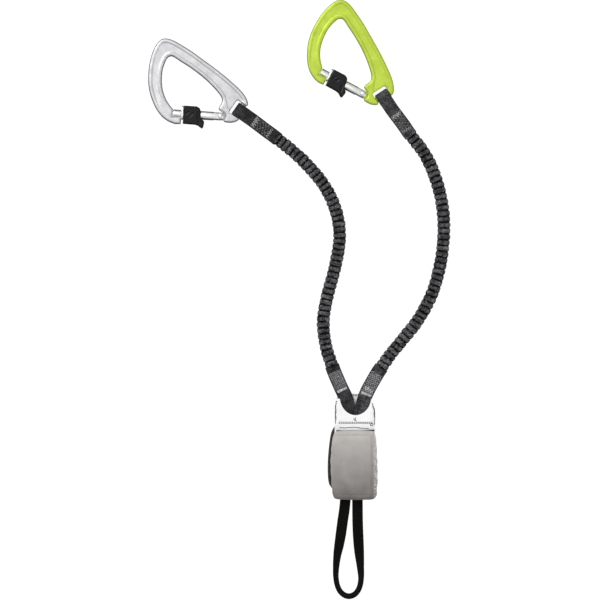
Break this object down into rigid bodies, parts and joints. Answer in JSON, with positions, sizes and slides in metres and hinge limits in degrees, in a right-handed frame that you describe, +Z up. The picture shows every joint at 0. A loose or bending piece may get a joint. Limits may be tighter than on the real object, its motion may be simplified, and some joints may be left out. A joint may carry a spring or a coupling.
{
  "type": "via ferrata lanyard",
  "caption": "Via ferrata lanyard: two ribbed elastic arms, each with a locking carabiner, join at a pouch that holds the tear-webbing energy absorber, above a webbing tie-in loop.",
  "frame": {"origin": "middle of the pouch's back panel, on its underside, where the lanyard lies on a table", "axes": "+Y from the tie-in loop towards the carabiners, +Z up out of the table, so the arm with the silver carabiner is on -X and the arm with the lime one is on +X"},
  "size_m": [0.3326, 0.6592, 0.026],
  "materials": {
    "silver_alloy": "matt silver anodised",
    "lime_alloy": "matt lime green anodised",
    "gate_alloy": "polished and clear anodised",
    "steel": "bright drawn wire and rivet",
    "black_nylon": "moulded, fine satin grain",
    "black_webbing": "woven polyamide webbing",
    "ribbed_webbing": "tubular webbing gathered into ribs over elastic",
    "elastic_core": "flat elastic cord",
    "grey_fabric": "coated pouch fabric",
    "white_fabric": "smooth label fabric, left bare"
  },
  "bodies": {
    "absorber": {"pouch_cover": "grey_fabric", "back_panel": "black_webbing", "hook_tape": "black_nylon", "loop_tape": "black_webbing", "tear_webbing": "black_webbing", "tab_front": "white_fabric", "tab_back": "white_fabric", "junction_strap": "black_webbing", "tie_in_loop": "black_webbing", "left_lower_strap": "black_webbing", "left_arm_sheath": "ribbed_webbing", "left_arm_core": "elastic_core", "right_lower_strap": "black_webbing", "right_arm_sheath": "ribbed_webbing", "right_arm_core": "elastic_core"},
    "left_arm_end": {"left_upper_loop": "black_webbing"},
    "left_carabiner": {"left_carabiner_body": "silver_alloy", "left_gate_rivet": "steel"},
    "left_gate": {"left_gate_bar": "gate_alloy", "left_gate_plunger": "steel", "left_gate_spring": "steel"},
    "left_slider": {"left_locking_sleeve": "black_nylon", "left_lock_ring": "gate_alloy", "left_sleeve_spring": "steel"},
    "right_arm_end": {"right_upper_loop": "black_webbing"},
    "right_carabiner": {"right_carabiner_body": "lime_alloy", "right_gate_rivet": "steel"},
    "right_gate": {"right_gate_bar": "gate_alloy", "right_gate_plunger": "steel", "right_gate_spring": "steel"},
    "right_slider": {"right_locking_sleeve": "black_nylon", "right_lock_ring": "gate_alloy", "right_sleeve_spring": "steel"}
  },
  "joints": [
    {"name": "left_arm_stretch", "type": "slide", "parent": "absorber", "child": "left_arm_end", "axis": [-0.8081, 0.5891, 0], "range_m": [0, 0.25], "stiffness_N_per_m": 50, "deforming": ["left_arm_sheath", "left_arm_core"]},
    {"name": "left_carabiner_swivel", "type": "hinge", "parent": "left_arm_end", "child": "left_carabiner", "pos_m": [-0.12585, 0.3894, 0.00625], "axis": [0.5592, 0.829, 0], "range_deg": [-90, 90]},
    {"name": "left_gate_hinge", "type": "hinge", "parent": "left_carabiner", "child": "left_gate", "pos_m": [-0.14656, 0.3827, 0.00625], "axis": [0, 0, -1], "range_deg": [0, 25], "stiffness_Nm_per_rad": 0.2, "springref_deg": -34.38},
    {"name": "left_sleeve_slide", "type": "slide", "parent": "left_gate", "child": "left_slider", "axis": [0.9981, -0.061, 0], "range_m": [0, 0.006], "stiffness_N_per_m": 200, "springref_m": -0.004, "deforming": ["left_sleeve_spring"]},
    {"name": "right_arm_stretch", "type": "slide", "parent": "absorber", "child": "right_arm_end", "axis": [-0.5739, 0.8189, 0], "range_m": [0, 0.25], "stiffness_N_per_m": 50, "deforming": ["right_arm_sheath", "right_arm_core"]},
    {"name": "right_carabiner_swivel", "type": "hinge", "parent": "right_arm_end", "child": "right_carabiner", "pos_m": [0.0316, 0.40485, 0.00625], "axis": [0.848, 0.5299, 0], "range_deg": [-90, 90]},
    {"name": "right_gate_hinge", "type": "hinge", "parent": "right_carabiner", "child": "right_gate", "pos_m": [0.00995, 0.40715, 0.00625], "axis": [0, 0, -1], "range_deg": [0, 25], "stiffness_Nm_per_rad": 0.2, "springref_deg": -34.38},
    {"name": "right_sleeve_slide", "type": "slide", "parent": "right_gate", "child": "right_slider", "axis": [0.887, -0.4617, 0], "range_m": [0, 0.006], "stiffness_N_per_m": 200, "springref_m": -0.004, "deforming": ["right_sleeve_spring"]}
  ]
}
